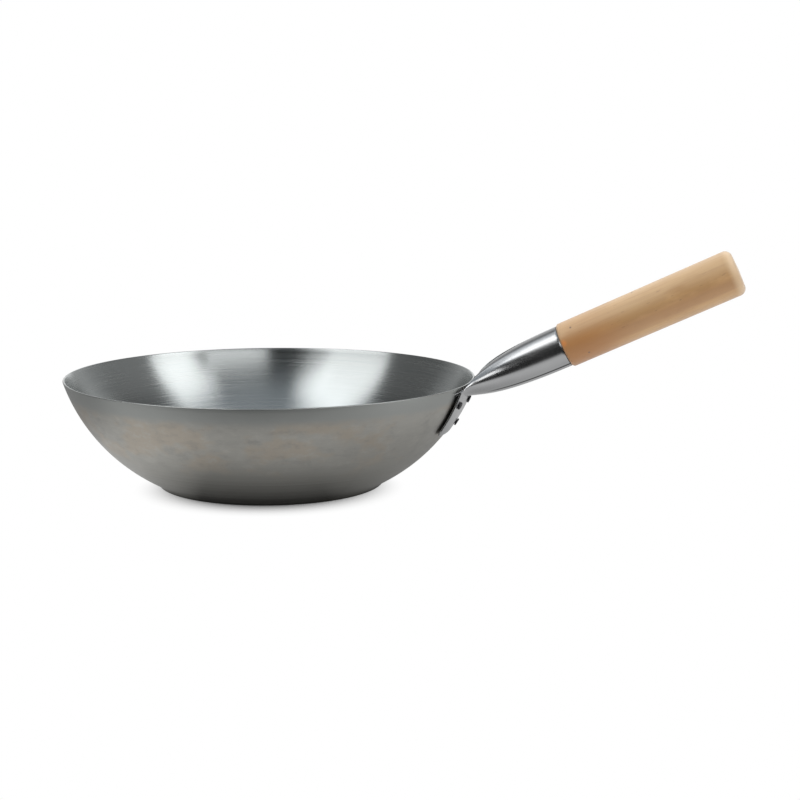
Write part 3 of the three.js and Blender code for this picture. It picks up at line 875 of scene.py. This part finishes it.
def cut_slot(mesh):
    """Sink a slot into the flat top of a screw's head that was turned round +Z."""
    for edge_of_slot in (-SCREW_SLOT_WIDTH / 2, SCREW_SLOT_WIDTH / 2):
        geom = mesh.verts[:] + mesh.edges[:] + mesh.faces[:]
        bmesh.ops.bisect_plane(
            mesh, geom=geom, dist=MERGE_DISTANCE,
            plane_co=(edge_of_slot, 0, 0), plane_no=(1, 0, 0),
        )
    slot_faces = [
        face for face in mesh.faces
        if face.normal.z > FACING_UP and abs(face.calc_center_median().x) < SCREW_SLOT_WIDTH / 2
    ]
    sunk = bmesh.ops.extrude_face_region(mesh, geom=slot_faces)
    bmesh.ops.delete(mesh, geom=slot_faces, context="FACES")
    floor_of_slot = [item for item in sunk["geom"] if isinstance(item, bmesh.types.BMVert)]
    bmesh.ops.translate(mesh, verts=floor_of_slot, vec=(0, 0, -SCREW_SLOT_DEPTH))
    bmesh.ops.recalc_face_normals(mesh, faces=mesh.faces)


def make_screw():
    seat = horn_point(SCREW_SIDE, SCREW_SHARE)
    around = horn_point(SCREW_SIDE + SMALL_STEP, SCREW_SHARE) - seat
    onward = horn_point(SCREW_SIDE, SCREW_SHARE + SMALL_STEP) - seat
    outward = around.cross(onward).normalized()
    shank = SCREW_SHANK_DIAMETER / 2
    head = SCREW_HEAD_DIAMETER / 2
    top = SEAT_GAP + SCREW_HEAD_HEIGHT
    profile = [
        (0, -SCREW_LENGTH), (shank, SCREW_TIP_LENGTH - SCREW_LENGTH), (shank, SEAT_GAP), (head, SEAT_GAP),
        (head, top), (0, top),
    ]
    mesh = turned(profile, SMALL_SEGMENTS)
    round_ring(mesh, head, top, SCREW_HEAD_ROUND)
    cut_slot(mesh)
    place_on(mesh, seat, outward)
    finish = grained_metal(
        "plated_screw", SCREW_GRAIN, SCREW_DARK, SCREW_PALE, SCREW_ROUGHNESS, SCREW_BUMP, SCREW_DEPTH
    )
    return finished_piece("slotted_screw", mesh, [finish], "handle_screw")


# Studio


def photo_direction(azimuth, elevation):
    """A direction given in degrees from where the camera stands, positive to the picture's right."""
    turn = math.radians(azimuth)
    rise = math.radians(elevation)
    flat = Vector((math.sin(turn) * math.cos(rise), -math.cos(turn) * math.cos(rise), math.sin(rise)))
    return Matrix.Rotation(PHOTO_TURN, 3, "Z") @ flat


TO_CAMERA = photo_direction(0, 0)
TO_RIGHT = photo_direction(90, 0)


def make_camera():
    data = bpy.data.cameras.new("photo_camera")
    data.lens = CAMERA_LENS
    data.sensor_width = CAMERA_SENSOR
    camera = bpy.data.objects.new("photo_camera", data)
    camera.location = Matrix.Rotation(PHOTO_TURN, 3, "Z") @ CAMERA_PLACE
    camera.rotation_euler = (math.pi / 2 - CAMERA_DIP, 0, PHOTO_TURN)
    bpy.context.scene.collection.objects.link(camera)
    bpy.context.scene.camera = camera


def add_softbox(name, azimuth, elevation, width, height, glow, mirrored):
    """A rectangular lamp that faces the bowl; width and height in degrees as the bowl sees it."""
    data = bpy.data.lights.new(name, "AREA")
    data.shape = "RECTANGLE"
    data.size = 2 * LAMP_REACH * math.tan(math.radians(width) / 2)
    data.size_y = 2 * LAMP_REACH * math.tan(math.radians(height) / 2)
    data.energy = glow * math.pi * data.size * data.size_y
    lamp = bpy.data.objects.new(name, data)
    outward = photo_direction(azimuth, elevation)
    lamp.location = LAMP_TARGET + outward * LAMP_REACH
    lamp.rotation_euler = outward.to_track_quat("Z", "Y").to_euler()
    lamp.visible_camera = False
    lamp.visible_glossy = mirrored
    bpy.context.scene.collection.objects.link(lamp)


def mirrored_table(tree, place):
    """The table as the steel mirrors it, a glow with painted light and shade: its own levels to the left
    and to the right, and a painted shadow darkest round the base.
    """
    forward = dotted(tree, place, TO_CAMERA)
    rightward = dotted(tree, place, TO_RIGHT)
    leftward = product(tree, rightward, -1)
    away = distance(tree, place, MIDDLE)
    distant = faded(tree, away, TABLE_FAR)
    in_front = faded(tree, forward, TABLE_BESIDE)
    left_far = mixed(tree, in_front, TABLE_LEFT_BESIDE, TABLE_LEFT_FAR)
    right_far = mixed(tree, in_front, TABLE_RIGHT_BESIDE, TABLE_RIGHT_FAR)
    left = mixed(tree, distant, TABLE_LEFT_NEAR, left_far)
    right = mixed(tree, distant, TABLE_RIGHT_NEAR, right_far)
    # painted shadow, darker towards the base
    shaded = mixed(tree, faded(tree, away, TABLE_SHADE), TABLE_PAINTED_SHADOW_UNDER_BASE, TABLE_FRONT)
    lefter = mixed(tree, ranged(tree, leftward, TABLE_ASIDE), shaded, left)
    sided = mixed(tree, ranged(tree, rightward, TABLE_ASIDE), lefter, right)
    table = mixed(tree, faded(tree, forward, TABLE_EDGE), sided, TABLE_BEYOND)
    # painted contact shadow, darkest where the base stands
    contact_shadow = faded(tree, away, TABLE_CONTACT_SHADOW, TABLE_CONTACT_SHADOW_SHARE, 1)
    return add_node(tree, "ShaderNodeEmission", {"Color": table, "Strength": contact_shadow}).outputs["Emission"]


def floor_finish():
    """A pale floor that fades to white round the object's shadow, and a table for the steel to mirror."""
    finish = bpy.data.materials.new("pale_floor")
    finish.use_nodes = True
    tree = finish.node_tree
    tree.nodes.clear()
    rays = add_node(tree, "ShaderNodeLightPath", {}).outputs
    place = object_place(tree)
    colour = mixed(tree, rays["Is Camera Ray"], FLOOR_BOUNCE, FLOOR_SEEN)
    lit = add_node(tree, "ShaderNodeBsdfDiffuse", {"Color": colour}).outputs["BSDF"]
    white = add_node(tree, "ShaderNodeEmission", {"Color": WHITE}).outputs["Emission"]
    from_shadow = distance(tree, place, TO_CAMERA * SHADOW_FORWARD)
    share = product(tree, faded(tree, from_shadow, SHADOW_REACH), rays["Is Camera Ray"])
    direct = add_node(tree, "ShaderNodeMixShader", {0: share, 1: lit, 2: white}).outputs["Shader"]
    inputs = {0: rays["Is Glossy Ray"], 1: direct, 2: mirrored_table(tree, place)}
    surface = add_node(tree, "ShaderNodeMixShader", inputs).outputs["Shader"]
    add_node(tree, "ShaderNodeOutputMaterial", {"Surface": surface})
    return finish


def make_floor():
    mesh = bmesh.new()
    bmesh.ops.create_grid(mesh, x_segments=1, y_segments=1, size=FLOOR_SIZE / 2)
    bmesh.ops.translate(mesh, verts=mesh.verts, vec=(0, 0, -FLOOR_DROP))
    data = bpy.data.meshes.new("floor")
    mesh.to_mesh(data)
    mesh.free()
    data.materials.append(floor_finish())
    floor = bpy.data.objects.new("floor", data)
    bpy.context.scene.collection.objects.link(floor)


def make_world():
    """A white backdrop for the camera, a room for the steel to mirror, and a soft fill for the rest."""
    world = bpy.data.worlds.new("studio")
    bpy.context.scene.world = world
    world.use_nodes = True
    tree = world.node_tree
    tree.nodes.clear()
    rays = add_node(tree, "ShaderNodeLightPath", {}).outputs
    direction = add_node(tree, "ShaderNodeTexCoord", {}).outputs["Generated"]
    rise = dotted(tree, direction, UPWARD)
    backward = dotted(tree, direction, -TO_CAMERA)
    rightward = dotted(tree, direction, TO_RIGHT)
    leftward = dotted(tree, direction, -TO_RIGHT)
    right = mixed(tree, faded(tree, rightward, SIDES_RISE), ROOM_FRONT, ROOM_RIGHT)
    level = mixed(tree, faded(tree, leftward, SIDES_RISE), right, ROOM_LEFT)
    front = mixed(tree, faded(tree, rise, ABOVE_RISE), level, ROOM_ABOVE)
    low = mixed(tree, faded(tree, backward, BACKDROP_REACH), ROOM_BACK_LOW, WHITE)
    back = mixed(tree, faded(tree, rise, BACK_RISE), low, ROOM_BACK_HIGH)
    room = mixed(tree, faded(tree, backward, BACKWARD), front, back)
    fill = mixed(tree, faded(tree, rise, FILL_RISE), FILL_LOW, FILL_HIGH)
    mirrored = calculated(tree, "MAXIMUM", rays["Is Glossy Ray"], rays["Is Transmission Ray"])
    seen = mixed(tree, mirrored, fill, room)
    colour = mixed(tree, rays["Is Camera Ray"], seen, WHITE)
    glow = add_node(tree, "ShaderNodeBackground", {"Color": colour, "Strength": 1}).outputs["Background"]
    add_node(tree, "ShaderNodeOutputWorld", {"Surface": glow})


make_bowl()
make_socket()
make_rivets()
make_grip()
make_screw()
make_camera()
make_floor()
make_world()
for lamp_name, lamp_sizes in LAMPS.items():
    add_softbox(lamp_name, *lamp_sizes)

bpy.context.scene.view_settings.view_transform = "Standard"
